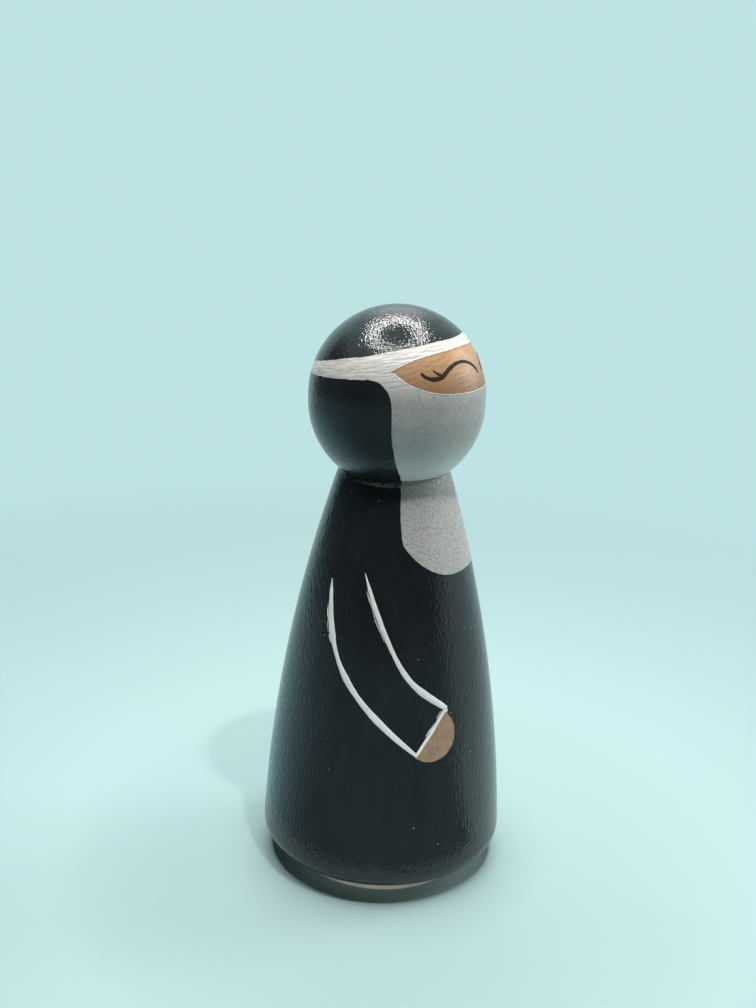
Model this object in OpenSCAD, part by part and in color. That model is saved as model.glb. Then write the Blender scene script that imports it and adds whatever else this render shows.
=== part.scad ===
// A turned wooden peg doll painted as a nun: a ball head pegged on a bell-shaped body, with every coat
// of paint a thin skin of its own. Millimetres, +Z up. The doll faces -Y and the origin is the middle
// of its foot. Angles on the paint are measured round the doll from its front, towards its right side.

/* [Body] */
// Height of the turned body, from the floor to the neck
body_h = 64.6; // [56:0.2:80]
// Width of the body at the hem, before the hem is rounded
hem_d = 38.4; // [34:0.2:46]
// Width of the body at the neck, before the shoulder is bevelled
neck_d = 16.4; // [15:0.2:19]
// Radius of the slow curve down the body's side
side_r = 230; // [160:5:500]
// Rounding of the hem
hem_r = 2.8; // [1.5:0.1:4]
// Bevel of the shoulder under the head
shoulder_bevel = 0.8; // [0.4:0.1:1.4]
// Width of the bare foot
foot_d = 29; // [20:0.2:30]
// Height of the bare foot, from the floor to the underside of the hem
foot_h = 2.9; // [1:0.1:4]
// Bevel round the foot's lower edge
foot_bevel = 0.3; // [0.1:0.05:0.6]

/* [Head] */
// Width of the ball
head_d = 26.2; // [23:0.2:32]
// Straight belt that makes the ball a little taller than it is wide
head_belt = 1; // [0.4:0.1:3]
// Width of the flat on the ball's underside
head_seat_d = 16.6; // [14:0.2:19]

/* [Neck dowel] */
// Width of the dowel
dowel_d = 6.4; // [4:0.2:9]
// Length of the dowel, half of it in the head and half in the body
dowel_l = 20; // [10:0.5:24]
// Bevel on the dowel's ends
dowel_bevel = 0.6; // [0.2:0.1:1]
// Room for glue round the dowel
glue_side_gap = 0.1; // [0.05:0.05:0.3]
// Room for glue past each end of the dowel
glue_end_gap = 0.5; // [0.2:0.1:0.9]

/* [Paint thickness] */
// Height of the ground coats above the wood
coat_t = 0.15; // [0.1:0.01:0.3]
// Height of the lines and hands above the coat that they are painted on
line_t = 0.12; // [0.08:0.01:0.25]
// Clearance under every coat, which keeps the curved faces from cutting into each other
coat_gap = 0.02; // [0.01:0.01:0.04]
// Bare line that the body's coats leave in the crease under the head
neck_bare = 0.1; // [0.05:0.05:0.3]

/* [Veil and coif] */
// Height of the pale band's upper edge above the middle of the head
band_top = 8; // [7:0.1:9]
// Rise of the band's upper edge towards the face, in degrees
band_top_tilt = 13; // [6:0.5:18]
// Height of the band's lower edge above the middle of the head
band_low = 4.8; // [3:0.1:6]
// Rise of the band's lower edge towards the face, in degrees
band_low_tilt = 6; // [0:0.5:10]
// How far the wimple's side edge lies in front of the doll's middle
wimple_front = 3.3; // [1:0.1:5]
// Lean of the wimple's side edge, in degrees
wimple_lean = 2; // [0:0.5:8]
// Rounding where the band turns down into the wimple
wimple_turn_r = 4; // [2:0.1:5]

/* [Face] */
// Height of the top of the face above the middle of the head
face_top = 8.9; // [7.5:0.1:10]
// Height of the bottom of the face above the middle of the head
face_low = 2.6; // [1:0.1:4]
// Radius of the face's upper edge, seen from the side
face_top_r = 16.7; // [14:0.1:22]
// Radius of the face's lower edge, seen from the side
face_low_r = 15.8; // [13:0.1:22]
// How far in front of the doll's middle the two edges are level
face_front = 12.2; // [11:0.1:13]
// Widest part of an eye line
eye_line_w = 0.5; // [0.3:0.05:0.8]
// Widest part of the upper lash
lash_w = 0.4; // [0.25:0.05:0.6]

/* [Bib] */
// How far the bib reaches down from the neck
bib_drop = 14; // [10:0.2:18]
// How far round the neck the bib reaches from the front, in degrees
bib_neck_turn = 65.5; // [55:0.5:68]
// How far round the body the bib's lower corners reach from the front, in degrees
bib_corner_turn = 62.5; // [45:0.5:65]
// Rounding of the bib's lower corners
bib_corner_r = 4.7; // [2:0.1:6]

/* [Sleeves and hands] */
// Widest part of a sleeve line
sleeve_line_w = 0.9; // [0.5:0.05:1.4]
// Width of the cuff line
cuff_line_w = 0.8; // [0.4:0.05:1.2]
// How far the hand reaches out of the cuff
hand_reach = 3.7; // [2:0.1:5]

/* [Hidden] */
$fn = 96;
side_facets = 1440;

// Colours as the photograph shows them
wood_colour = "BurlyWood";
black_colour = [0.12, 0.13, 0.15];
grey_colour = [0.66, 0.67, 0.66];
pale_colour = [0.86, 0.87, 0.85];
skin_colour = [0.74, 0.57, 0.42];
hand_colour = [0.60, 0.48, 0.38];
brown_colour = [0.20, 0.13, 0.09];

// Each drawn line is a smooth curve through four hand-placed points: angles round the doll, and heights
// as shares of the body's height, or of the ball's radius above the middle of the head
sleeve_back_angles = [115, 106, 96, 56];
sleeve_back_height_shares = [0.767, 0.582, 0.546, 0.383];
sleeve_front_angles = [90, 59, 65, 39];
sleeve_front_height_shares = [0.795, 0.536, 0.571, 0.484];
eye_arch_angles = [4.3, 10, 29, 41.5];
eye_arch_height_shares = [0.379, 0.547, 0.593, 0.402];
eye_corner_angles = [41.5, 45, 54, 57.5];
eye_corner_height_shares = [0.402, 0.371, 0.356, 0.448];
lash_angles = [41.5, 44, 46.5, 48.8];
lash_height_shares = [0.400, 0.420, 0.435, 0.468];
// Width of a line's thin end, and how much of its length it takes to swell to the full width
thin_end_share = 0.3;
swell_share = 0.4;
// Steps along a drawn line, round a hand, and down a side and round a corner of the bib
line_steps = 16;
hand_steps = 20;
bib_steps = 6;
bib_corner_steps = 10;
quarter_turn = 90;
// One overrun for every cut
overrun = 1;
// Direction that the sleeve is drawn from
sleeve_facing = 78;
// Slope of the shoulder's bevel
shoulder_slope = -45;

// Middle of the long curve down the side, which passes through the hem's and the neck's widths
hem_point = [hem_d / 2, foot_h];
neck_point = [neck_d / 2, body_h];
chord = neck_point - hem_point;
chord_l = norm(chord);
chord_out = [chord.y, -chord.x] / chord_l;
side_c = (hem_point + neck_point) / 2 - chord_out * sqrt(side_r ^ 2 - (chord_l / 2) ^ 2);

// Middle of the hem's rounding, which touches the side's curve from inside
function inside_side(z, r) = [side_c.x + sqrt((side_r - r) ^ 2 - (z - side_c.y) ^ 2), z];
hem_c = inside_side(foot_h + hem_r, hem_r);
hem_out = (hem_c - side_c) / (side_r - hem_r);

// Middles of the two half balls of the head
head_r = head_d / 2;
head_low_z = body_h + sqrt(head_r ^ 2 - (head_seat_d / 2) ^ 2);
head_z = head_low_z + head_belt / 2;
head_high_z = head_low_z + head_belt;

// Radius of the wood at a height, on the body's side and on the head above its belt
function body_radius(z) = inside_side(z, 0).x;
function head_radius(z) = sqrt(head_r ^ 2 - max(0, z - head_high_z) ^ 2);

// A point of a curve with four control values, and a path of [angle, height] points along it
function curve(v, t) =
    v[0] * (1 - t) ^ 3 + 3 * v[1] * t * (1 - t) ^ 2 + 3 * v[2] * t ^ 2 * (1 - t) + v[3] * t ^ 3;
function path(angles, heights) =
    [for (i = [0:line_steps]) [curve(angles, i / line_steps), curve(heights, i / line_steps)]];
function sleeve_path(angles, shares) = path(angles, shares * body_h);
function head_path(angles, shares) = path(angles, [for (s = shares) head_z + s * head_r]);

// Share of a line's full width along it: thin at an end marked 1, full at an end marked 0
function swell(t, start_thin, end_thin) = min(
    1 - start_thin * (1 - thin_end_share) * max(0, 1 - t / swell_share),
    1 - end_thin * (1 - thin_end_share) * max(0, 1 - (1 - t) / swell_share));

// Millimetres along the surface for a turn round the doll, and back
function arc_mm(angle, r) = angle * PI / 180 * r;
function arc_angle(mm, r) = mm * 180 / (PI * r);

// One edge of a line: its path moved sideways on the surface by half its width
function line_edge(p, radii, w, side, start_thin, end_thin) = [for (i = [0:line_steps])
    let (a = p[max(0, i - 1)], b = p[min(line_steps, i + 1)],
         run = [arc_mm(b.x - a.x, radii[i]), b.y - a.y] / norm([arc_mm(b.x - a.x, radii[i]), b.y - a.y]),
         half_w = side * w / 2 * swell(i / line_steps, start_thin, end_thin))
    [p[i].x - arc_angle(run.y * half_w, radii[i]), p[i].y + run.x * half_w]];
function reversed(v) = [for (i = [len(v) - 1:-1:0]) v[i]];
function line_outline(p, radii, w, start_thin, end_thin) = concat(
    line_edge(p, radii, w, 1, start_thin, end_thin),
    reversed(line_edge(p, radii, w, -1, start_thin, end_thin)));

// Where a point of the surface falls in the flat view that it is drawn in
function seen_on_body(p) = [-body_radius(p.y) * sin(p.x - sleeve_facing), p.y];
function seen_on_head(p) = [-head_radius(p.y) * sin(p.x), p.y];

module body_line(p, w, start_thin, end_thin) {
    radii = [for (q = p) body_radius(q.y)];
    polygon([for (q = line_outline(p, radii, w, start_thin, end_thin)) seen_on_body(q)]);
}

module head_line(p, w, start_thin, end_thin) {
    radii = [for (q = p) head_radius(q.y)];
    polygon([for (q = line_outline(p, radii, w, start_thin, end_thin)) seen_on_head(q)]);
}

// Half section of the body's wood above the foot, grown by a paint thickness
module body_section(grow) {
    hem_z = foot_h - grow;
    hem_join = hem_c.y + (hem_r + grow) * hem_out.y;
    bevel_z = body_h - shoulder_bevel;
    difference() {
        union() {
            translate([0, hem_z]) square([hem_c.x, hem_join - hem_z]);
            intersection() {
                translate(hem_c) circle(hem_r + grow);
                translate([0, hem_z]) square([hem_d, hem_join - hem_z]);
            }
            intersection() {
                translate(side_c) circle(side_r + grow, $fn = side_facets);
                translate([0, hem_join]) square([hem_d, body_h - hem_join]);
            }
        }
        translate([body_radius(bevel_z), bevel_z]) rotate(shoulder_slope)
            translate([-hem_d, grow]) square([2 * hem_d, hem_d]);
    }
}

// Half section of the bare foot, which runs up into the body
module foot_section() {
    foot_r = foot_d / 2;
    polygon([[0, 0], [foot_r - foot_bevel, 0], [foot_r, foot_bevel], [foot_r, foot_h + hem_r],
        [0, foot_h + hem_r]]);
}

// Half section of the head's wood, grown by a paint thickness
module head_section(grow) {
    intersection() {
        translate([0, head_low_z]) circle(head_r + grow);
        translate([0, body_h]) square([head_d, head_low_z - body_h]);
    }
    translate([0, head_low_z]) square([head_r + grow, head_belt]);
    intersection() {
        translate([0, head_high_z]) circle(head_r + grow);
        translate([0, head_high_z]) square(head_d);
    }
}

// A skin of paint on the body or the head, between two depths of paint
module body_skin(from, to) {
    rotate_extrude() difference() {
        body_section(to);
        body_section(from);
        foot_section();
        translate([0, body_h - neck_bare]) square([hem_d, neck_bare + overrun]);
    }
}

module head_skin(from, to) {
    rotate_extrude() difference() {
        head_section(to);
        head_section(from);
    }
}

// Cutters: a shape seen from the front, from over the right sleeve, or from the side, driven through
module from_front() {
    rotate([90, 0, 0]) linear_extrude(hem_d) children();
}

module from_sleeve() {
    rotate([0, 0, -sleeve_facing]) from_front() children();
}

module from_side() {
    rotate([90, 0, -90]) linear_extrude(hem_d, center = true) children();
}

// Everything above the pale band, seen from the side
module crown_region() {
    translate([0, head_z + band_top]) rotate(band_top_tilt)
        translate([-hem_d, 0]) square([2 * hem_d, hem_d]);
}

// The veil below the band and behind the wimple, with a rounded upper corner, seen from the side
module veil_back_region() {
    band_along = [cos(band_low_tilt), sin(band_low_tilt)];
    band_down = [sin(band_low_tilt), -cos(band_low_tilt)];
    wimple_back = [-cos(wimple_lean), -sin(wimple_lean)];
    start = [-wimple_front, band_low] + band_down * wimple_turn_r;
    along = (wimple_turn_r - start * wimple_back) / (band_along * wimple_back);
    turn_c = [wimple_front, head_z] + start + band_along * along;
    translate(turn_c) circle(wimple_turn_r);
    translate(turn_c) rotate(band_low_tilt)
        translate([-hem_d, -hem_d]) square([hem_d, hem_d + wimple_turn_r]);
    translate(turn_c) rotate(wimple_lean)
        translate([-hem_d, -hem_d]) square([hem_d + wimple_turn_r, hem_d]);
}

// The opening of the face, between two arcs, seen from the side
module face_region() {
    intersection() {
        translate([face_front, head_z + face_top - face_top_r]) circle(face_top_r);
        translate([face_front, head_z + face_low + face_low_r]) circle(face_low_r);
    }
}

// The bib, seen from the front: its sides follow the body's own spread until the corners draw them in
module bib_region() {
    bib_low = body_h - bib_drop;
    corner_z = bib_low + bib_corner_r;
    draw_in = sin(bib_neck_turn) - sin(bib_corner_turn);
    function side_share(t) = sin(bib_neck_turn) - draw_in * t * t * t * t;
    function side_z(t) = body_h + (corner_z - body_h) * t;
    function side_point(t) = [body_radius(side_z(t)) * side_share(t), side_z(t)];
    corner_x = side_point(1).x - bib_corner_r;
    side = [for (i = [0:bib_steps]) side_point(i / bib_steps)];
    corner = [for (i = [1:bib_corner_steps])
        let (a = quarter_turn * i / bib_corner_steps)
        [corner_x + bib_corner_r * cos(a), corner_z - bib_corner_r * sin(a)]];
    right_edge = concat([side[0] + [0, overrun]], side, corner);
    polygon(concat(right_edge, reversed([for (p = right_edge) [-p.x, p.y]])));
}

// The right sleeve's outline: its back line, its front line and the cuff across their lower ends
sleeve_back = sleeve_path(sleeve_back_angles, sleeve_back_height_shares);
sleeve_front = sleeve_path(sleeve_front_angles, sleeve_front_height_shares);
cuff_back = sleeve_back[line_steps];
cuff_front = sleeve_front[line_steps];

module sleeve_region() {
    cuff = [for (i = [0:line_steps]) cuff_back + (cuff_front - cuff_back) * i / line_steps];
    body_line(sleeve_back, sleeve_line_w, 1, 0);
    body_line(sleeve_front, sleeve_line_w, 1, 0);
    body_line(cuff, cuff_line_w, 0, 0);
}

// The right hand: half an oval on the cuff
module hand_region() {
    middle = (cuff_back + cuff_front) / 2;
    r = body_radius(middle.y);
    cuff_run = [arc_mm(cuff_front.x - cuff_back.x, r), cuff_front.y - cuff_back.y];
    half_cuff = cuff_run / 2 - cuff_run / norm(cuff_run) * sleeve_line_w / 2;
    reach = [-cuff_run.y, cuff_run.x] / norm(cuff_run) * hand_reach;
    difference() {
        polygon([for (i = [0:hand_steps])
            let (t = 180 * i / hand_steps, mm = half_cuff * cos(t) + reach * sin(t))
            seen_on_body([middle.x + arc_angle(mm.x, r), middle.y + mm.y])]);
        sleeve_region();
    }
}

// The right eye: an arch with its outer corner drawn out, and a second lash above it
module eye_region() {
    head_line(head_path(eye_arch_angles, eye_arch_height_shares), eye_line_w, 1, 0);
    head_line(head_path(eye_corner_angles, eye_corner_height_shares), eye_line_w, 0, 1);
    head_line(head_path(lash_angles, lash_height_shares), lash_w, 0, 1);
}

// A blind socket for half the dowel, upwards from the neck
module dowel_socket() {
    cylinder(h = dowel_l / 2 + glue_end_gap, d = dowel_d + 2 * glue_side_gap);
    translate([0, 0, -overrun]) cylinder(h = 2 * overrun, d = dowel_d + 2 * glue_side_gap);
}

module body() {
    color(wood_colour) difference() {
        rotate_extrude() union() {
            body_section(0);
            foot_section();
        }
        translate([0, 0, body_h]) mirror([0, 0, 1]) dowel_socket();
    }
}

module head() {
    color(wood_colour) difference() {
        rotate_extrude() head_section(0);
        translate([0, 0, body_h]) dowel_socket();
    }
}

module neck_dowel() {
    r = dowel_d / 2;
    half_l = dowel_l / 2;
    color(wood_colour) translate([0, 0, body_h]) rotate_extrude() polygon([[0, -half_l],
        [r - dowel_bevel, -half_l], [r, dowel_bevel - half_l], [r, half_l - dowel_bevel],
        [r - dowel_bevel, half_l], [0, half_l]]);
}

module habit_coat() {
    color(black_colour) difference() {
        body_skin(coat_gap, coat_t);
        from_front() bib_region();
    }
}

module bib_coat() {
    color(grey_colour) intersection() {
        body_skin(coat_gap, coat_t);
        from_front() bib_region();
    }
}

module veil_crown_coat() {
    color(black_colour) intersection() {
        head_skin(coat_gap, coat_t);
        from_side() crown_region();
    }
}

module veil_back_coat() {
    color(black_colour) intersection() {
        head_skin(coat_gap, coat_t);
        from_side() veil_back_region();
    }
}

module coif_coat() {
    color(grey_colour) difference() {
        head_skin(coat_gap, coat_t);
        from_side() crown_region();
        from_side() veil_back_region();
        from_side() face_region();
    }
}

module face_coat() {
    color(skin_colour) intersection() {
        head_skin(coat_gap, coat_t);
        from_side() face_region();
    }
}

module right_eye_line() {
    color(brown_colour) intersection() {
        head_skin(coat_t + coat_gap, coat_t + line_t);
        from_front() eye_region();
    }
}

module left_eye_line() {
    mirror([1, 0, 0]) right_eye_line();
}

module right_sleeve_line() {
    color(pale_colour) intersection() {
        body_skin(coat_t + coat_gap, coat_t + line_t);
        from_sleeve() sleeve_region();
    }
}

module left_sleeve_line() {
    mirror([1, 0, 0]) right_sleeve_line();
}

module right_hand() {
    color(hand_colour) intersection() {
        body_skin(coat_t + coat_gap, coat_t + line_t);
        from_sleeve() hand_region();
    }
}

module left_hand() {
    mirror([1, 0, 0]) right_hand();
}

body();
head();
neck_dowel();
habit_coat();
bib_coat();
veil_crown_coat();
veil_back_coat();
coif_coat();
face_coat();
right_eye_line();
left_eye_line();
right_sleeve_line();
left_sleeve_line();
right_hand();
left_hand();
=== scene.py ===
import math
import random
import bmesh
import bpy
from mathutils import Matrix, Vector, noise


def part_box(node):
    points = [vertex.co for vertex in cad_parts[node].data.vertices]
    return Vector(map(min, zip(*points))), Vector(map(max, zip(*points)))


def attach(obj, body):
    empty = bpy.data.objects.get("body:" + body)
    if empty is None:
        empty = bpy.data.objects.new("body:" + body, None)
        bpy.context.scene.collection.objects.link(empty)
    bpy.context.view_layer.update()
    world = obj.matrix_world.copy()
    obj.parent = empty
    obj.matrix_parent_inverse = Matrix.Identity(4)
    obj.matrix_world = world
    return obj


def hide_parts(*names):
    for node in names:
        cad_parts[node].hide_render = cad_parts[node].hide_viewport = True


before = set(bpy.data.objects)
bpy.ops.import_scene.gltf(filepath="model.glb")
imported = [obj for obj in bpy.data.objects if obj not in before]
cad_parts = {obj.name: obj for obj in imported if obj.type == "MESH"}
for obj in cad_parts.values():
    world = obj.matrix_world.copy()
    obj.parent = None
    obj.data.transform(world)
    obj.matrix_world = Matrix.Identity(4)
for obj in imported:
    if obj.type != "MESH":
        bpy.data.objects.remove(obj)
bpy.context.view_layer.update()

# Body, head and neck dowel
# Maple turned on a lathe: a bell-shaped body, a ball head, and the dowel that pegs and glues them together.
# Paint hides all of the wood except the foot under the hem, which was left bare.
MM = 0.001
dark_maple, pale_maple = (0.70, 0.64, 0.54, 1), (0.88, 0.83, 0.74, 1)
pith_away, ring_scale = (0.05, 0.03, 0.0), 130.0
fibre_across, fibre_along, fibre_height = 0.25, 4.0, 0.02


def new_finish(name):
    """A material, its node tree and its shader."""
    finish = bpy.data.materials.new(name)
    finish.use_nodes = True
    return finish, finish.node_tree, finish.node_tree.nodes["Principled BSDF"]


def add(tree, kind, settings=(), **sockets):
    """A node with its sockets set to a value or linked to another node.

    A socket goes by its name, or by its number after an underscore.
    """
    made = tree.nodes.new(kind)
    for name, value in dict(settings).items():
        setattr(made, name, value)
    for name, value in sockets.items():
        socket = made.inputs[int(name[1:]) if name[0] == "_" else name.replace("_", " ")]
        if isinstance(value, bpy.types.NodeSocket):
            tree.links.new(value, socket)
        else:
            socket.default_value = value
    return made


def mottle(tree, across, along, detail=2.0, tilt=0.0):
    """Noise in cells of a size in millimetres, level and upright, or tilted towards the doll's front."""
    place = add(tree, "ShaderNodeTexCoord").outputs["Object"]
    if tilt:
        tilted = add(tree, "ShaderNodeMapping", Vector=place, Rotation=(math.radians(tilt), 0, 0))
        place = tilted.outputs[0]
    scale = (1 / (across * MM), 1 / (across * MM), 1 / (along * MM))
    sized = add(tree, "ShaderNodeMapping", Vector=place, Scale=scale).outputs[0]
    return add(tree, "ShaderNodeTexNoise", Vector=sized, Scale=1.0, Detail=detail).outputs[0]


def ramp(tree, value, low, high, low_to=0.0, high_to=1.0):
    """Spreads the part of a value between two levels over another range."""
    spread = add(tree, "ShaderNodeMapRange", _0=value, _1=low, _2=high, _3=low_to, _4=high_to)
    return spread.outputs[0]


def blend_colour(tree, share, first, second):
    """One colour going over into another."""
    mixed = add(tree, "ShaderNodeMix", {"data_type": "RGBA"}, _0=share, _6=first, _7=second)
    return mixed.outputs[2]


def maths(tree, operation, first, second):
    """A sum, a product or the greater of two values."""
    return add(tree, "ShaderNodeMath", {"operation": operation}, _0=first, _1=second).outputs[0]


def weigh(tree, *parts):
    """A sum of values, each with its own weight."""
    total = 0.0
    for value, weight in parts:
        total = maths(tree, "ADD", total, maths(tree, "MULTIPLY", value, weight))
    return total


maple, tree, shader = new_finish("maple")
place = add(tree, "ShaderNodeTexCoord").outputs["Object"]
from_pith = add(tree, "ShaderNodeMapping", Vector=place, Location=pith_away).outputs[0]
rings = add(tree, "ShaderNodeTexWave", {"wave_type": "RINGS", "rings_direction": "Z"}, Vector=from_pith,
            Scale=ring_scale, Distortion=3.0, Detail=2.0, Detail_Scale=1.5).outputs[1]
fibres = mottle(tree, fibre_across, fibre_along, detail=3.0)
tone = weigh(tree, (rings, 0.45), (fibres, 0.55))
tree.links.new(blend_colour(tree, tone, dark_maple, pale_maple), shader.inputs["Base Color"])
tree.links.new(ramp(tree, fibres, 0.3, 0.7, low_to=0.62, high_to=0.78), shader.inputs["Roughness"])
raised = add(tree, "ShaderNodeBump", Height=fibres, Strength=0.5, Distance=fibre_height * MM)
tree.links.new(raised.outputs[0], shader.inputs["Normal"])
for name in ("body", "head", "neck_dowel"):
    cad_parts[name].data.materials[0] = maple

# Habit
# Black acrylic brushed over the whole body, round the hem and under it as far as the foot, with a window
# left for the bib. It lies straight on the wood, so the grain stands up through it in fine upright ridges.


def cad_mm(length):
    """A length of the frame in millimetres, to the micron."""
    return round(length / MM, 3)


body_h = cad_mm(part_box("head")[0].z)
foot_h, foot_r = 2.9, 14.5
hem_reach, hem_r = 19.2, 2.8
neck_r, side_r = 8.2, 230.0
shoulder_bevel, neck_bare = 0.8, 0.1
coat_gap, habit_t, lap = 0.02, 0.145, 0.5
hem_steps, side_steps, body_steps = 18, 96, 200
skin_weld, edge_weld, weld_order = 0.002, 0.02, (0.31, 0.57, 1.0)
crease = math.radians(35)
hem_z, bevel_z = foot_h + hem_r, body_h - shoulder_bevel
hem_point, neck_point = Vector((hem_reach, foot_h)), Vector((neck_r, body_h))
chord = neck_point - hem_point
chord_out = Vector((chord.y, -chord.x)).normalized()
side_c = (hem_point + neck_point) / 2 - chord_out * math.sqrt(side_r ** 2 - (chord.length / 2) ** 2)
hem_c = Vector((side_c.x + math.sqrt((side_r - hem_r) ** 2 - (hem_z - side_c.y) ** 2), hem_z))
hem_turn = math.degrees(math.atan2(hem_c.y - side_c.y, hem_c.x - side_c.x))


def side_radius(z, lift=0.0):
    """Radius of the body's side at a height, with a lift of paint on it."""
    return side_c.x + math.sqrt((side_r + lift) ** 2 - (z - side_c.y) ** 2)


def side_angle(z, lift=0.0):
    """Where a height lies on the long curve down the side, in degrees round that curve's middle."""
    return math.degrees(math.asin((z - side_c.y) / (side_r + lift)))


def arc(bm, end, centre, degrees, steps):
    """Carries a profile on round a centre and returns its new end."""
    made = bmesh.ops.spin(bm, geom=[end], cent=(centre.x, 0, centre.y), axis=(0, -1, 0),
                          angle=math.radians(degrees), steps=steps)
    return next(g for g in made["geom_last"] if isinstance(g, bmesh.types.BMVert))


def straight(bm, end, x, z):
    """Carries a profile straight on to a point and returns its new end."""
    end = bmesh.ops.extrude_vert_indiv(bm, verts=[end])["verts"][0]
    end.co = (x, 0, z)
    return end


def side_profile(bm, end, lift, steps):
    """Carries a profile up the body's side and over the shoulder's bevel to the crease at the neck."""
    turned = math.degrees(math.atan2(end.co.z - side_c.y, end.co.x - side_c.x))
    end = arc(bm, end, side_c, side_angle(bevel_z, lift) - turned, steps)
    straight(bm, end, side_radius(bevel_z, lift) - shoulder_bevel + neck_bare, body_h - neck_bare)


def spin_skin(bm, degrees, steps, start=0.0):
    """Turns a profile round the doll's axis into a skin that faces outwards."""
    start_turn = Matrix.Rotation(math.radians(start), 3, "Z")
    bmesh.ops.rotate(bm, verts=bm.verts, cent=(0, 0, 0), matrix=start_turn)
    bmesh.ops.spin(bm, geom=bm.verts[:] + bm.edges[:], cent=(0, 0, 0), axis=(0, 0, 1),
                   angle=math.radians(degrees), steps=steps, use_merge=degrees == 360)
    bmesh.ops.remove_doubles(bm, verts=bm.verts, dist=skin_weld)
    bmesh.ops.recalc_face_normals(bm, faces=bm.faces)
    widest = max(bm.faces, key=lambda f: f.calc_center_median().xy.length)
    if widest.normal.xy.dot(widest.calc_center_median().xy) < 0:
        bmesh.ops.reverse_faces(bm, faces=bm.faces)


def trim(bm, outline):
    """Cuts a skin along a painted edge and keeps the side where the outline is below zero.

    The points are put in order along a slanting line, so that every run welds the same ones.
    """
    level = {v: outline(v.co) for v in bm.verts}
    crossed = [e for e in bm.edges if level[e.verts[0]] * level[e.verts[1]] < 0]
    on_edge = []
    for edge in crossed:
        first, last = edge.verts
        share = level[first] / (level[first] - level[last])
        on_edge.append(bmesh.utils.edge_split(edge, first, share)[1])
    bmesh.ops.connect_verts(bm, verts=on_edge)
    outside = [f for f in bm.faces if outline(f.calc_center_median()) > 0]
    bmesh.ops.delete(bm, geom=outside, context="FACES")
    bm.verts.sort(key=lambda v: sum(place * slant for place, slant in zip(v.co, weld_order)))
    bmesh.ops.remove_doubles(bm, verts=bm.verts, dist=edge_weld)


def thicken(bm, depth):
    """Gives a skin its thickness, down towards the wood, so that it is a closed film."""
    bmesh.ops.solidify(bm, geom=bm.verts[:] + bm.edges[:] + bm.faces[:], thickness=depth)


def put_on(name, bm, finish, slot, *stands_for):
    """Makes a piece of the doll from a mesh in millimetres."""
    bmesh.ops.scale(bm, vec=(MM, MM, MM), verts=bm.verts)
    for face in bm.faces:
        face.smooth = True
    for edge in bm.edges:
        edge.smooth = edge.calc_face_angle(0) < crease
    mesh = bpy.data.meshes.new(name)
    bm.to_mesh(mesh)
    bm.free()
    mesh.materials.append(finish)
    piece = bpy.data.objects.new(name, mesh)
    bpy.context.scene.collection.objects.link(piece)
    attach(piece, "root")
    if stands_for:
        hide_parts(*stands_for)


# How close the waves of a painted edge are, their share of its size, and where in the noise they start
shake_waves = ((0.30, 1.0, Vector((0, 0, 0))), (1.1, 0.45, Vector((7, 3, 5))),
               (2.8, 0.3, Vector((2, 8, 1))))


def hand_shake(co, size):
    """How far a painted edge strays from its line, from a brush held by hand: slow, quicker and fine."""
    return size * sum(share * noise.noise(co * pace + start) for pace, share, start in shake_waves)


sheen_spread = 0.05


def paint(name, colour, second, tone, rough, height, ridge):
    """Dry acrylic: two tones, an uneven sheen and marks that stand up by a height in millimetres."""
    finish, tree, shader = new_finish(name)
    tree.links.new(blend_colour(tree, tone(tree), colour, second), shader.inputs["Base Color"])
    marks = height(tree)
    sheen = ramp(tree, marks, 0.3, 0.7, low_to=rough + sheen_spread, high_to=rough - sheen_spread)
    tree.links.new(sheen, shader.inputs["Roughness"])
    bump = add(tree, "ShaderNodeBump", Height=marks, Strength=1.0, Distance=ridge * MM)
    tree.links.new(bump.outputs[0], shader.inputs["Normal"])
    return finish


black, speck_grey = (0.0075, 0.0085, 0.0105, 1), (0.42, 0.43, 0.42, 1)
black_rough, speck_spacing = 0.14, 3.2
speck_core_share, speck_rim_share = 0.028, 0.036


def grain_height(tree):
    """Upright ridges of wood grain under the paint, fine bumps, and broad brush marks over them."""
    ridges, bumps = mottle(tree, 0.36, 1.3, detail=1.0), mottle(tree, 0.34, 0.5, detail=1.0)
    return weigh(tree, (ridges, 0.62), (bumps, 0.28), (mottle(tree, 1.2, 5.0), 0.10))


def specks(tree):
    """A few tiny specks of pale paint and dust, scattered over a black that is a little uneven."""
    place = add(tree, "ShaderNodeTexCoord").outputs["Object"]
    away = add(tree, "ShaderNodeTexVoronoi", Vector=place, Scale=1 / (speck_spacing * MM)).outputs[0]
    dots = ramp(tree, away, speck_core_share, speck_rim_share, low_to=1.0, high_to=0.0)
    return weigh(tree, (dots, 0.8), (mottle(tree, 3.0, 8.0), 0.03))


black_body_paint = paint("black_body_paint", black, speck_grey, specks, rough=black_rough,
                         height=grain_height, ridge=0.13)

bib_low = cad_mm(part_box("bib_coat")[0].z)
bib_corner_r, bib_side_power, bib_shake = 4.7, 4, 0.10
bib_neck_turn, bib_corner_turn = math.radians(65.5), math.radians(62.5)
bib_corner_z = bib_low + bib_corner_r
bib_corner_x = side_radius(bib_corner_z) * math.sin(bib_corner_turn) - bib_corner_r
least_reach, least_seen_share = 0.01, 0.3
far_outside = 9.0


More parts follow.
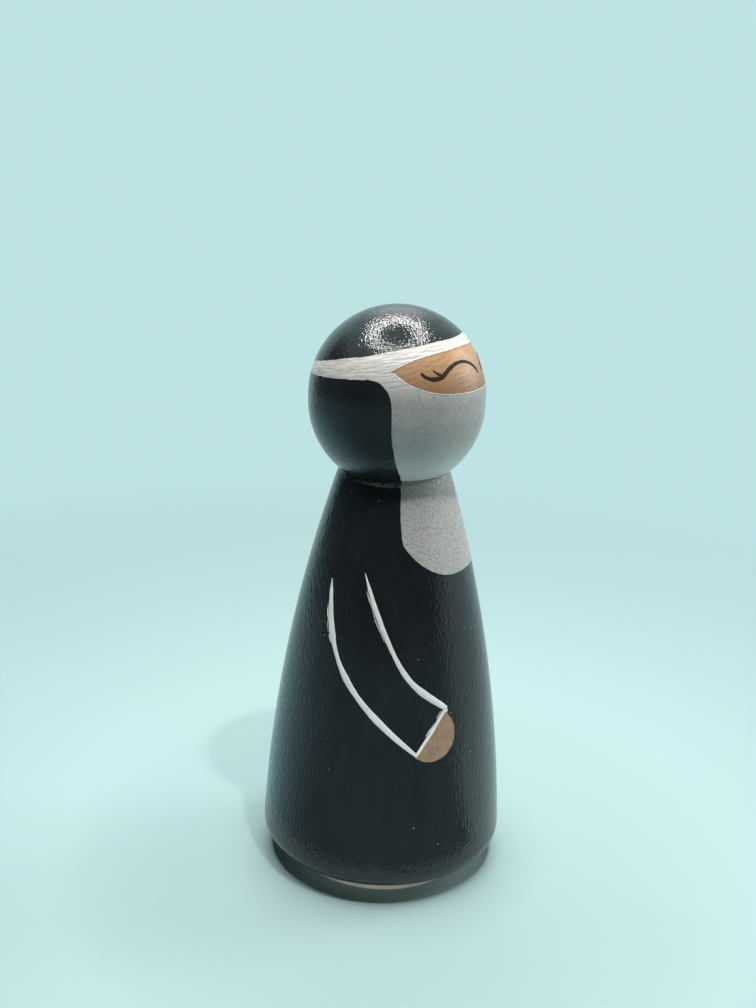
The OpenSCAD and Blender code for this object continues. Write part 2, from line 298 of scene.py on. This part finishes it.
def bib_edge(co):
    """The bib's outline: sides that follow the body's own spread, and a low edge with round corners."""
    if co.y > 0:
        return far_outside
    round_r = co.xy.length
    x = abs(co.x) * side_radius(co.z) / round_r
    if co.z > bib_corner_z:
        drop = (body_h - co.z) / (body_h - bib_corner_z)
        edge_turn = bib_neck_turn + (bib_corner_turn - bib_neck_turn) * drop ** bib_side_power
        outside = (math.atan2(x, -co.y) - edge_turn) * round_r
    elif x > bib_corner_x:
        aside, below = x - bib_corner_x, bib_corner_z - co.z
        reach = math.hypot(aside, below)
        seen = math.hypot(aside * -co.y / round_r, below) / max(reach, least_reach)
        outside = (reach - bib_corner_r) / max(seen, least_seen_share)
    else:
        outside = bib_low - co.z
    return outside + hand_shake(co, bib_shake)


bm = bmesh.new()
end = bm.verts.new((foot_r, 0, foot_h - habit_t))
end = straight(bm, end, hem_c.x, foot_h - habit_t)
end = arc(bm, end, hem_c, 90 + hem_turn, hem_steps)
side_profile(bm, end, habit_t, side_steps)
spin_skin(bm, 360, body_steps)
trim(bm, lambda co: -bib_edge(co) - lap)
thicken(bm, habit_t - coat_gap)
put_on("habit_paint", bm, black_body_paint, "black_paint", "habit_coat")

# Bib
# Grey acrylic brushed on the breast under the chin, up to the neck, over the edge of the black. It is
# thin, so the pores of the wood show in it as small dark dots.
bib_t, bib_margin = 0.18, 1
bib_side_steps, bib_steps = 48, 130
bib_grey, pore_grey = (0.54, 0.52, 0.508, 1), (0.18, 0.175, 0.172, 1)


def pores(tree):
    """Small pores of the wood, close together and a little taller than wide."""
    return ramp(tree, mottle(tree, 0.27, 0.31), 0.47, 0.64)


def pored_height(tree):
    """A brushed coat that dips into the pores."""
    return weigh(tree, (mottle(tree, 0.8, 3.0), 0.5), (pores(tree), -0.6), (1.0, 0.4))


def pored_tone(tree):
    """Dark in the pores, and a little uneven from the brush."""
    return weigh(tree, (pores(tree), 0.40), (mottle(tree, 2.0, 5.0), 0.10))


grey_bib_paint = paint("grey_bib_paint", bib_grey, pore_grey, pored_tone, rough=0.42,
                       height=pored_height, ridge=0.11)
bm = bmesh.new()
bib_foot = bib_low - bib_margin
end = bm.verts.new((side_radius(bib_foot, bib_t), 0, bib_foot))
side_profile(bm, end, bib_t, bib_side_steps)
spin_skin(bm, 180, bib_steps, start=180)
trim(bm, bib_edge)
thicken(bm, bib_t - coat_gap)
put_on("bib_paint", bm, grey_bib_paint, "grey_paint", "bib_coat")

# Face
# A tan flesh tone brushed on the wood before the grey, which was painted up to it, so it lies a little
# lower. The brush left slanting ridges in it. Towards the low edge it is darker, as painted shade, and the
# dark line along its upper edge is partly a drawn line and partly the grey edge's shadow, painted in.
head_r, head_belt, head_seat_r = cad_mm(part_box("head")[1].x), 1.0, 8.3
head_low_z = body_h + math.sqrt(head_r ** 2 - head_seat_r ** 2)
head_z, head_high_z = head_low_z + head_belt / 2, head_low_z + head_belt
low_head_steps, high_head_steps, head_steps = 36, 64, 280
face_t, face_shake = 0.06, 0.08
face_top, face_low, face_front = 8.9, 2.6, 12.2
face_top_r, face_low_r = 16.7, 15.8
skin, brush_and_shade_skin = (0.47, 0.27, 0.144, 1), (0.25, 0.128, 0.061, 1)


def head_skin(bm, lift):
    """A skin over the whole head, from the seat on the neck to the top."""
    radius = head_r + lift
    seat_turn = math.degrees(math.asin((head_low_z - body_h) / radius))
    end = bm.verts.new((radius * math.cos(math.radians(seat_turn)), 0, body_h))
    end = arc(bm, end, Vector((0, head_low_z)), seat_turn, low_head_steps)
    for step in (1, 2):
        end = straight(bm, end, radius, head_low_z + head_belt * step / 2)
    arc(bm, end, Vector((0, head_high_z)), 90, high_head_steps)
    spin_skin(bm, 360, head_steps)


def face_edge(co):
    """The opening for the face, between two arcs seen from the side."""
    if co.y > 0:
        return far_outside
    ahead = -co.y - face_front
    top = math.hypot(ahead, co.z - (head_z + face_top - face_top_r)) - face_top_r
    low = math.hypot(ahead, co.z - (head_z + face_low + face_low_r)) - face_low_r
    return max(top, low) + hand_shake(co, face_shake)


def up_head(tree, low, high):
    """Nothing below one height and one above another, in millimetres from the head's middle."""
    place = add(tree, "ShaderNodeTexCoord").outputs["Object"]
    up = add(tree, "ShaderNodeSeparateXYZ", Vector=place).outputs[2]
    return ramp(tree, up, (head_z + low) * MM, (head_z + high) * MM)


def slanting_brush(tree):
    """Slanting brush marks, with a little grain."""
    return weigh(tree, (mottle(tree, 1.8, 0.28, tilt=22), 0.75), (mottle(tree, 0.3, 1.2), 0.25))


def skin_tone(tree):
    """Darker between the brush marks, and darker towards the low edge as painted shade."""
    between_marks = ramp(tree, slanting_brush(tree), 0.62, 0.34, high_to=0.5)
    return weigh(tree, (between_marks, 1.0), (up_head(tree, 2.5, 5), -0.3), (up_head(tree, 3, 8), -0.3),
                 (1.0, 0.6))


skin_paint = paint("skin_paint", skin, brush_and_shade_skin, skin_tone, rough=0.40,
                   height=slanting_brush, ridge=0.07)
bm = bmesh.new()
head_skin(bm, face_t)
trim(bm, lambda co: face_edge(co) - lap)
thicken(bm, face_t - coat_gap)
put_on("face_paint", bm, skin_paint, "skin_paint", "face_coat")

stroke_sides, stroke_weld, rim_halvings = 12, 0.0005, 24


def on_head(turn, z):
    """A point of the head's upper half, at an angle from the front and a height, and which way it faces."""
    up = max(0, z - head_high_z)
    radius = math.sqrt(head_r ** 2 - up ** 2)
    level = Vector((-math.sin(math.radians(turn)), -math.cos(math.radians(turn)), 0)) * radius
    return level + Vector((0, 0, z)), (level + Vector((0, 0, up))).normalized()


def brush_line(bm, path, widths, floor, rise):
    """One stroke of a fine brush: a low round bead of paint swept along a path on the surface."""
    frames = []
    for i, (point, out) in enumerate(path):
        run = (path[min(i + 1, len(path) - 1)][0] - path[max(i - 1, 0)][0]).normalized()
        across = out.cross(run).normalized()
        columns = (across * widths[i] / 2, out * rise, run)
        frames.append(Matrix.Translation(point + out * floor) @ Matrix(columns).transposed().to_4x4())
    loop = bmesh.ops.create_circle(bm, cap_ends=True, segments=stroke_sides, radius=1.0,
                                   matrix=frames[0])["verts"]
    cap = next(iter(set.intersection(*(set(v.link_faces) for v in loop))))
    ring = list(cap.edges)
    for last, following in zip(frames, frames[1:]):
        made = bmesh.ops.extrude_edge_only(bm, edges=ring)["geom"]
        ends = [g for g in made if isinstance(g, bmesh.types.BMVert)]
        bmesh.ops.transform(bm, matrix=following @ last.inverted(), verts=ends)
        ring = [g for g in made if isinstance(g, bmesh.types.BMEdge) and all(v in ends for v in g.verts)]
    bmesh.ops.contextual_create(bm, geom=ring)


def close_shell(bm):
    """Merges what coincides and turns the strokes' faces outwards."""
    bmesh.ops.remove_doubles(bm, verts=bm.verts, dist=stroke_weld)
    bmesh.ops.recalc_face_normals(bm, faces=bm.faces)


def face_rim(turn, way):
    """A point of the opening's upper or lower edge, at an angle from the front."""
    near = head_z + (face_top + face_low) / 2
    far = head_z + (face_top if way > 0 else face_low) + way
    for step in range(rim_halvings):
        middle = (near + far) / 2
        near, far = (middle, far) if face_edge(on_head(turn, middle)[0]) < 0 else (near, middle)
    return on_head(turn, (near + far) / 2)


def plain_brush(tree):
    """Soft brush marks."""
    return weigh(tree, (mottle(tree, 0.4, 0.9), 0.6), (mottle(tree, 1.5, 2.5), 0.4))


# The dark tan line under the face's upper edge: partly a drawn brown line, partly the shadow of the grey's
# raised edge, painted in.
shade_end, shade_step, shade_drop = 74, 2, Vector((0, 0, 0.10))
shade_w, shade_swell, shade_pace, shade_rise = 0.44, 0.16, 0.7, 0.025
dark_tan, mid_tan = (0.085, 0.040, 0.020, 1), (0.20, 0.105, 0.055, 1)
tan_shade = paint("tan_shade", dark_tan, mid_tan, lambda tree: mottle(tree, 1.5, 1.5), rough=0.55,
                  height=plain_brush, ridge=0.02)
bm = bmesh.new()
rim = [face_rim(turn, 1) for turn in range(-shade_end, shade_end + 1, shade_step)]
widths = [shade_w + shade_swell * noise.noise(point * shade_pace) for point, out in rim]
brush_line(bm, [(point - shade_drop, out) for point, out in rim], widths, face_t, shade_rise)
close_shell(bm)
put_on("face_rim_shade", bm, tan_shade, "skin_paint")

# Coif
# One coat of grey for the band round the head and the wimple that frames the face and the chin. The brush
# went along the band and up and down the wimple, and left a thin bead round the opening for the face.
coif_t, crown_shake, veil_shake = 0.12, 0.12, 0.16
band_top, band_top_tilt = 8.0, math.radians(13)
band_low, band_low_tilt = 4.8, math.radians(6)
wimple_front, wimple_lean, wimple_turn_r = 3.3, math.radians(2), 4.0
# The second grey darkens the brush marks and, as painted shade, the upper wimple.
coif_grey, brush_and_shade_grey = (0.65, 0.635, 0.61, 1), (0.315, 0.30, 0.29, 1)


def crown_edge(co):
    """Above the band, whose upper edge rises towards the face."""
    above = (co.z - head_z - band_top) * math.cos(band_top_tilt) + co.y * math.sin(band_top_tilt)
    return -above + hand_shake(co, crown_shake)


def veil_edge(co):
    """Below the band and behind the wimple, with a round corner between them."""
    over = (co.z - head_z - band_low) * math.cos(band_low_tilt) + co.y * math.sin(band_low_tilt)
    ahead = (-co.y - wimple_front) * math.cos(wimple_lean) + (co.z - head_z) * math.sin(wimple_lean)
    over, ahead = over + wimple_turn_r, ahead + wimple_turn_r
    corner = math.hypot(over, ahead) if over > 0 and ahead > 0 else max(over, ahead)
    return corner - wimple_turn_r + hand_shake(co, veil_shake)


def on_band(tree):
    """One on the band and nothing on the wimple."""
    return up_head(tree, 2, 5)


def coif_height(tree):
    """Brush marks along the band, which turn into upright grain on the wimple."""
    along_band = mottle(tree, 2.4, 0.34, tilt=12)
    upright = weigh(tree, (mottle(tree, 0.36, 0.46), 0.78), (mottle(tree, 1.0, 3.0), 0.22))
    return add(tree, "ShaderNodeMix", _0=on_band(tree), _2=upright, _3=along_band).outputs[0]


def coif_tone(tree):
    """Darker between the brush marks, and darker on the upper wimple as painted shade."""
    between_marks = ramp(tree, coif_height(tree), 0.62, 0.32, low_to=0.07, high_to=0.42)
    return weigh(tree, (between_marks, 1.0), (up_head(tree, -9, -2), 0.50), (on_band(tree), -0.50))


grey_coif_paint = paint("grey_coif_paint", coif_grey, brush_and_shade_grey, coif_tone, rough=0.30,
                        height=coif_height, ridge=0.11)
bm = bmesh.new()
head_skin(bm, coif_t)
trim(bm, lambda co: -face_edge(co))
trim(bm, lambda co: -crown_edge(co) - lap)
trim(bm, lambda co: -veil_edge(co) - lap)
thicken(bm, coif_t - coat_gap)
put_on("coif_paint", bm, grey_coif_paint, "grey_paint", "coif_coat")

bead_end, bead_step, bead_sink = 76, 2, 0.03
bead_w, bead_swell, bead_pace, bead_rise = 0.26, 0.14, 0.9, 0.05
bm = bmesh.new()
for way in (1, -1):
    rim = [face_rim(turn, way) for turn in range(-bead_end, bead_end + 1, bead_step)]
    widths = [bead_w + bead_swell * noise.noise(point * bead_pace) for point, out in rim]
    brush_line(bm, rim, widths, coif_t - bead_sink, bead_rise)
close_shell(bm)
put_on("coif_rim_bead", bm, grey_coif_paint, "grey_paint")

# Veil
# Black acrylic over the crown and down the back and sides of the head, lapping over the edges of the grey.
# A short brush left fine bumps in it.
veil_t = 0.145


def stipple_height(tree):
    """Fine bumps left by a short brush, with broad marks under them."""
    return weigh(tree, (mottle(tree, 0.34, 0.50, detail=1.0), 0.75), (mottle(tree, 1.2, 5.0), 0.25))


black_head_paint = paint("black_head_paint", black, speck_grey, specks, rough=black_rough,
                         height=stipple_height, ridge=0.09)
for name, edge in (("veil_crown", crown_edge), ("veil_back", veil_edge)):
    bm = bmesh.new()
    head_skin(bm, veil_t)
    trim(bm, edge)
    thicken(bm, veil_t - coat_gap)
    put_on(name + "_paint", bm, black_head_paint, "black_paint", name + "_coat")

# Eyes
# Two closed eyes, each drawn with a fine brush: one line that arches and turns up at the outer corner,
# and a second lash above that corner. The brown dried without a shine.
arch_turns, arch_shares = (4.3, 10, 29, 41.5), (0.379, 0.547, 0.593, 0.402)
corner_turns, corner_shares = (41.5, 45, 54, 57.5), (0.402, 0.371, 0.356, 0.448)
lash_turns, lash_shares = (41.5, 44, 46.5, 48.8), (0.400, 0.420, 0.435, 0.468)
arch_widths = ((0, 0.36), (0.1, 0.52), (0.6, 0.52), (1, 0.66))
corner_widths = ((0, 0.66), (0.4, 0.68), (0.8, 0.54), (0.95, 0.38), (1, 0.12))
lash_widths = ((0, 0.50), (0.5, 0.42), (0.9, 0.28), (1, 0.12))
eye_strokes = ((arch_turns, arch_shares, arch_widths), (corner_turns, corner_shares, corner_widths),
               (lash_turns, lash_shares, lash_widths))
eye_line_t, eye_steps = 0.05, 28
eye_swell_share, eye_swell_pace = 0.15, 1.3
brown, pale_brown = (0.020, 0.010, 0.006, 1), (0.045, 0.022, 0.012, 1)


def bezier(values, share):
    """A point of a curve with four control values."""
    rest = 1 - share
    return (values[0] * rest ** 3 + 3 * values[1] * share * rest ** 2
            + 3 * values[2] * share ** 2 * rest + values[3] * share ** 3)


def between(table, share):
    """Reads a value off a table of (share, value) rows."""
    for (low, first), (high, last) in zip(table, table[1:]):
        if share <= high:
            return first + (last - first) * (share - low) / (high - low)
    return table[-1][1]


def even_shares(steps):
    """Shares of a stroke's length from nothing to one, evenly spaced."""
    return [i / steps for i in range(steps + 1)]


brown_ink = paint("brown_ink", brown, pale_brown, lambda tree: mottle(tree, 0.5, 0.5), rough=0.62,
                  height=plain_brush, ridge=0.02)
brown_ink.node_tree.nodes["Principled BSDF"].inputs["Specular IOR Level"].default_value = 0.15
for side, name in ((1, "right_eye"), (-1, "left_eye")):
    bm = bmesh.new()
    for turns, shares, table in eye_strokes:
        steps = even_shares(eye_steps)
        path = [on_head(side * bezier(turns, t), head_z + head_r * bezier(shares, t)) for t in steps]
        widths = [between(table, t) * (1 + eye_swell_share * noise.noise(point * eye_swell_pace))
                  for t, (point, out) in zip(steps, path)]
        brush_line(bm, path, widths, face_t, eye_line_t)
    close_shell(bm)
    put_on(name + "_stroke", bm, brown_ink, "brown_ink", name + "_line")

# Sleeves
# White acrylic lines drawn over the dry black: a back line and a front line for each sleeve and a cuff
# across their lower ends. The brush ran dry along one edge, which left broken streaks there.
back_turns, back_shares = (115, 106, 96, 56), (0.767, 0.582, 0.546, 0.383)
front_turns, front_shares = (90, 59, 65, 39), (0.795, 0.536, 0.571, 0.484)
back_widths = ((0, 0.08), (0.04, 0.66), (0.14, 0.92), (0.26, 1.18), (0.34, 0.76), (0.44, 0.74),
               (0.54, 1.12), (0.66, 0.86), (0.80, 1.12), (0.92, 0.92), (1, 0.50))
front_widths = ((0, 0.08), (0.05, 0.58), (0.16, 0.80), (0.30, 0.66), (0.45, 0.80), (0.60, 0.88),
                (0.80, 1.12), (0.93, 1.02), (1, 0.80))
cuff_widths = ((0, 0.70), (0.3, 1.00), (0.7, 0.98), (1, 0.90))
line_t, line_sink = 0.07, 0.03
line_steps, line_swell_share, line_swell_pace = 80, 0.10, 0.8
cuff_steps, cuff_swell_share = 24, 0.12
back_dry, front_dry, cuff_dry = (7, 26), (3, 24), (9, 23)
streak_rows, streak_w, streak_rise = (0.09, 0.19), 0.10, 0.03
streak_tip_w, streak_tip_steps, streak_seed = 0.02, 0.4, 5
lead_steps, dash_steps, gap_steps, shortest_dash = 4, (3, 9), (2, 6), 4
white, thin_white = (0.95, 0.94, 0.92, 1), (0.84, 0.83, 0.81, 1)


def on_side(turn, z):
    """A point of the body's side, at an angle from the front and a height, and which way it faces."""
    lean = math.radians(side_angle(z))
    level = Vector((-math.sin(math.radians(turn)), -math.cos(math.radians(turn)), 0))
    out = level * math.cos(lean) + Vector((0, 0, math.sin(lean)))
    return level * side_radius(z) + Vector((0, 0, z)), out


def dry_streaks(bm, path, widths, first, last, side, chance):
    """Broken hair-thin streaks beside a stroke, where the outer bristles ran dry."""
    for row in streak_rows:
        i = first + chance.randrange(lead_steps)
        while i + shortest_dash < last:
            dash = min(chance.randrange(*dash_steps), last - 1 - i)
            points = []
            for k in range(i, i + dash + 1):
                point, out = path[k]
                run = (path[k + 1][0] - path[k - 1][0]).normalized()
                points.append((point - out.cross(run) * side * (widths[k] / 2 + row), out))
            shares = [(k + streak_tip_steps) / (dash + 2 * streak_tip_steps) for k in range(dash + 1)]
            thin = [streak_w * math.sin(math.pi * share) + streak_tip_w for share in shares]
            brush_line(bm, points, thin, habit_t - line_sink, line_sink + streak_rise)
            i += dash + chance.randrange(*gap_steps)


def white_tone(tree):
    """Thinner between the brush marks."""
    return ramp(tree, plain_brush(tree), 0.60, 0.35)


white_paint = paint("white_paint", white, thin_white, white_tone, rough=0.42, height=plain_brush,
                    ridge=0.03)
for side, name in ((1, "right"), (-1, "left")):
    chance = random.Random(streak_seed)
    bm = bmesh.new()
    ends = []
    for turns, shares, table, dry in ((back_turns, back_shares, back_widths, back_dry),
                                      (front_turns, front_shares, front_widths, front_dry)):
        steps = even_shares(line_steps)
        path = [on_side(side * bezier(turns, t), body_h * bezier(shares, t)) for t in steps]
        widths = [between(table, t) * (1 + line_swell_share * noise.noise(point * line_swell_pace))
                  for t, (point, out) in zip(steps, path)]
        brush_line(bm, path, widths, habit_t - line_sink, line_t + line_sink)
        dry_streaks(bm, path, widths, *dry, side, chance)
        ends.append(Vector((side * turns[3], body_h * shares[3])))
    steps = even_shares(cuff_steps)
    path = [on_side(*ends[0].lerp(ends[1], t)) for t in steps]
    widths = [between(cuff_widths, t) * (1 + cuff_swell_share * noise.noise(point * line_swell_pace))
              for t, (point, out) in zip(steps, path)]
    brush_line(bm, path, widths, habit_t - line_sink, line_t + line_sink)
    dry_streaks(bm, path, widths, *cuff_dry, -side, chance)
    close_shell(bm)
    put_on(name + "_sleeve_stroke", bm, white_paint, "white_paint", name + "_sleeve_line")

# Hands
# A dab of brown flesh tone brushed on the habit, reaching out of each cuff in half an oval. It hangs a
# little below the cuff's middle.
hand_reach, hand_slide, hand_short = 4.0, 0.4, 0.1
hand_t, hand_edge_shake = 0.09, 0.12
hand_margin, hand_sweep = 6, 50
hand_rows, hand_columns = 48, 60
hand_brown, hand_shade = (0.45, 0.285, 0.182, 1), (0.32, 0.20, 0.13, 1)


def hand_tone(tree):
    """Darker between the brush marks."""
    return ramp(tree, plain_brush(tree), 0.62, 0.36)


hand_paint = paint("hand_paint", hand_brown, hand_shade, hand_tone, rough=0.45, height=plain_brush,
                   ridge=0.03)
cuff_back = Vector((back_turns[3], body_h * back_shares[3]))
cuff_front = Vector((front_turns[3], body_h * front_shares[3]))
palm = (cuff_back + cuff_front) / 2
palm_r = side_radius(palm.y)
palm_low, palm_high = palm.y - hand_margin, palm.y + hand_margin
cuff = Vector((math.radians(cuff_front.x - cuff_back.x) * palm_r, cuff_front.y - cuff_back.y))
half_cuff = cuff.length / 2 - hand_short
cuff_along = cuff.normalized()
cuff_out = Vector((-cuff_along.y, cuff_along.x))
for side, name in ((1, "right"), (-1, "left")):

    def hand_edge(co):
        """Half an oval that stands on the cuff, laid out flat on the surface."""
        turn = math.degrees(math.atan2(-side * co.x, -co.y))
        flat = Vector((math.radians(turn - palm.x) * palm_r, co.z - palm.y))
        along, reach = flat.dot(cuff_along) + hand_slide, flat.dot(cuff_out)
        oval = math.hypot(along / half_cuff, reach / hand_reach) - 1
        return max(oval * half_cuff, -reach) + hand_shake(co, hand_edge_shake)

    bm = bmesh.new()
    lift = habit_t + hand_t
    end = bm.verts.new((side_radius(palm_low, lift), 0, palm_low))
    arc(bm, end, side_c, side_angle(palm_high, lift) - side_angle(palm_low, lift), hand_rows)
    spin_skin(bm, hand_sweep, hand_columns, start=-90 - side * palm.x - hand_sweep / 2)
    trim(bm, hand_edge)
    thicken(bm, hand_t + line_sink)
    put_on(name + "_hand_paint", bm, hand_paint, "hand_paint", name + "_hand")

# Floor, lamps and camera
# A plain pale floor that fades into an equally pale background. A ring of small lamps hangs over the doll,
# with a small key lamp, three soft lamps and a spot on the foot. A card round the camera's side, dark in
# front and paler to the left and near the floor, is seen only in the gloss of the paint.
pale, floor_teal = (0.52, 0.77, 0.78, 1), (0.41, 0.60, 0.615, 1)
floor_r, floor_sides, fade_start, fade_end = 4.0, 128, 0.05, 0.22
camera_turn = math.radians(-72)
ahead = Vector((-math.sin(camera_turn), math.cos(camera_turn), 0))
rightwards = Vector((math.cos(camera_turn), math.sin(camera_turn), 0))
above = Vector((0, 0, 1))


def only_seen(tree):
    """One for rays that see the background, straight or in a reflection, and nothing for its light."""
    rays = add(tree, "ShaderNodeLightPath").outputs
    mirrored = maths(tree, "MAXIMUM", rays["Is Glossy Ray"], rays["Is Transmission Ray"])
    return maths(tree, "MAXIMUM", rays["Is Camera Ray"], mirrored)


def set_stage(name, bm, finish):
    """Makes a piece of the studio."""
    mesh = bpy.data.meshes.new(name)
    bm.to_mesh(mesh)
    bm.free()
    mesh.materials.append(finish)
    thing = bpy.data.objects.new(name, mesh)
    bpy.context.scene.collection.objects.link(thing)
    return thing


pale_card, tree, shader = new_finish("pale_card")
shader.inputs["Base Color"].default_value = floor_teal
shader.inputs["Roughness"].default_value = 0.8
place = add(tree, "ShaderNodeTexCoord").outputs["Object"]
away = add(tree, "ShaderNodeVectorMath", {"operation": "LENGTH"}, _0=place).outputs[1]
fade = maths(tree, "MULTIPLY", ramp(tree, away, fade_start, fade_end), only_seen(tree))
glow = add(tree, "ShaderNodeEmission", Color=pale)
joined = add(tree, "ShaderNodeMixShader", _0=fade, _1=shader.outputs[0], _2=glow.outputs[0])
tree.links.new(joined.outputs[0], tree.nodes["Material Output"].inputs["Surface"])
bm = bmesh.new()
bmesh.ops.create_circle(bm, cap_ends=True, segments=floor_sides, radius=floor_r)
set_stage("floor", bm, pale_card)

card_near, card_far, card_low, card_high = 0.03, 0.45, 0.001, 0.40
card_start, card_sweep, card_steps = math.radians(132), math.radians(202), 64
card_teal, card_level = (0.42, 0.76, 0.84, 1), 0.06
left_end = rightwards * -0.82 + ahead * 0.57
dark_card, tree = new_finish("dark_card")[:2]
place = add(tree, "ShaderNodeTexCoord").outputs["Object"]
facing = add(tree, "ShaderNodeVectorMath", {"operation": "NORMALIZE"}, _0=place).outputs[0]
leftward = add(tree, "ShaderNodeVectorMath", {"operation": "DOT_PRODUCT"}, _0=facing,
               _1=left_end).outputs[1]
up = add(tree, "ShaderNodeSeparateXYZ", Vector=place).outputs[2]
away = add(tree, "ShaderNodeVectorMath", {"operation": "LENGTH"}, _0=place).outputs[1]
near_doll = ramp(tree, away, 0.10, 0.40, low_to=0.75, high_to=0.08)
sideways = maths(tree, "MULTIPLY", ramp(tree, leftward, 0.45, 1.0), near_doll)
near_floor = ramp(tree, up, 0.002, 0.05, low_to=1.0, high_to=0.0)
level = weigh(tree, (sideways, 1.0), (near_floor, 0.30), (1.0, card_level))
glow = add(tree, "ShaderNodeEmission", Color=card_teal, Strength=level)
tree.links.new(glow.outputs[0], tree.nodes["Material Output"].inputs["Surface"])
bm = bmesh.new()
end = bm.verts.new((card_near, 0, card_low))
end = straight(bm, end, card_far, card_low)
straight(bm, end, card_far, card_high)
start_turn = Matrix.Rotation(math.atan2(-ahead.y, -ahead.x) - card_start, 3, "Z")
bmesh.ops.rotate(bm, verts=bm.verts, cent=(0, 0, 0), matrix=start_turn)
bmesh.ops.spin(bm, geom=bm.verts[:] + bm.edges[:], cent=(0, 0, 0), axis=(0, 0, 1), angle=card_sweep,
               steps=card_steps)
card = set_stage("dark_card", bm, dark_card)
card.visible_camera = card.visible_diffuse = card.visible_shadow = card.visible_transmission = False

world = bpy.data.worlds.new("studio")
bpy.context.scene.world = world
world.use_nodes = True
tree = world.node_tree
dim_light = tree.nodes["Background"]
dim_light.inputs["Color"].default_value = (1.0, 0.96, 0.93, 1)
dim_light.inputs["Strength"].default_value = 0.02
seen = add(tree, "ShaderNodeBackground", Color=pale)
joined = add(tree, "ShaderNodeMixShader", _0=only_seen(tree), _1=dim_light.outputs[0], _2=seen.outputs[0])
tree.links.new(joined.outputs[0], tree.nodes["World Output"].inputs["Surface"])

lamp_white = (1.0, 0.98, 0.95)


def hang_lamp(lamp, spot, target, in_gloss):
    """Hangs a lamp at a spot, aimed at a target. The camera never sees it, and the gloss only if asked."""
    holder = bpy.data.objects.new(lamp.name, lamp)
    aim = (spot - target).to_track_quat("Z", "Y")
    holder.matrix_world = Matrix.Translation(spot) @ aim.to_matrix().to_4x4()
    holder.visible_camera, holder.visible_glossy = False, in_gloss
    bpy.context.scene.collection.objects.link(holder)


def disc_lamp(name, watts, wide):
    """A flat round lamp of warm white."""
    lamp = bpy.data.lights.new(name, "AREA")
    lamp.shape, lamp.size = "DISK", wide
    lamp.energy, lamp.color = watts, lamp_white
    return lamp


breast = above * 0.05
# Each lamp's name, power, place and width, and whether the gloss of the paint shows it
aimed_lamps = (("key", 0.40, rightwards * 0.071 + ahead * -0.123 + above * 0.40, 0.014, False),
               ("right", 0.82, rightwards * 0.40 + ahead * 0.16 + above * 0.22, 0.25, True),
               ("back", 0.28, ahead * 0.38 + above * 0.42, 0.30, True),
               ("low", 0.04, rightwards * 0.40 + ahead * -0.20 + above * 0.04, 0.25, False))
for name, watts, spot, wide, in_gloss in aimed_lamps:
    hang_lamp(disc_lamp(name + "_lamp", watts, wide), spot, breast, in_gloss)

foot_lamp = bpy.data.lights.new("foot_lamp", "SPOT")
foot_lamp.energy, foot_lamp.shadow_soft_size = 0.80, 0.02
foot_lamp.spot_size, foot_lamp.spot_blend = math.radians(14), 0.8
foot_lamp_up = above * 0.006
hang_lamp(foot_lamp, ahead * -0.22 + foot_lamp_up, foot_lamp_up, in_gloss=False)

ring_lamps, ring_watts, ring_lamp_w = 36, 0.82, 0.016
ring_c, ring_deep, ring_wide = rightwards * -0.008 + above * 0.25, ahead * 0.083, rightwards * 0.076
far_side_gain = 0.26
for i in range(ring_lamps):
    turn = 2 * math.pi * i / ring_lamps
    watts = ring_watts / ring_lamps * (1 + far_side_gain * math.sin(turn))
    spot = ring_c + ring_deep * math.sin(turn) + ring_wide * math.cos(turn)
    hang_lamp(disc_lamp(f"ring_lamp_{i:02d}", watts, ring_lamp_w), spot, spot - above, in_gloss=True)

camera = bpy.data.objects.new("camera", bpy.data.cameras.new("camera"))
camera.data.lens, camera.data.sensor_width = 42.10, 36.0
camera.data.clip_start = 0.01
camera_tilt, camera_roll = math.radians(73.18), math.radians(2.03)
turned = (Matrix.Rotation(camera_turn, 4, "Z") @ Matrix.Rotation(camera_tilt, 4, "X")
          @ Matrix.Rotation(camera_roll, 4, "Z"))
stand = ahead * -0.17288 + rightwards * -0.002268 + above * 0.11072
camera.matrix_world = Matrix.Translation(stand) @ turned
bpy.context.scene.collection.objects.link(camera)
bpy.context.scene.camera = camera
bpy.context.scene.view_settings.view_transform = "Standard"
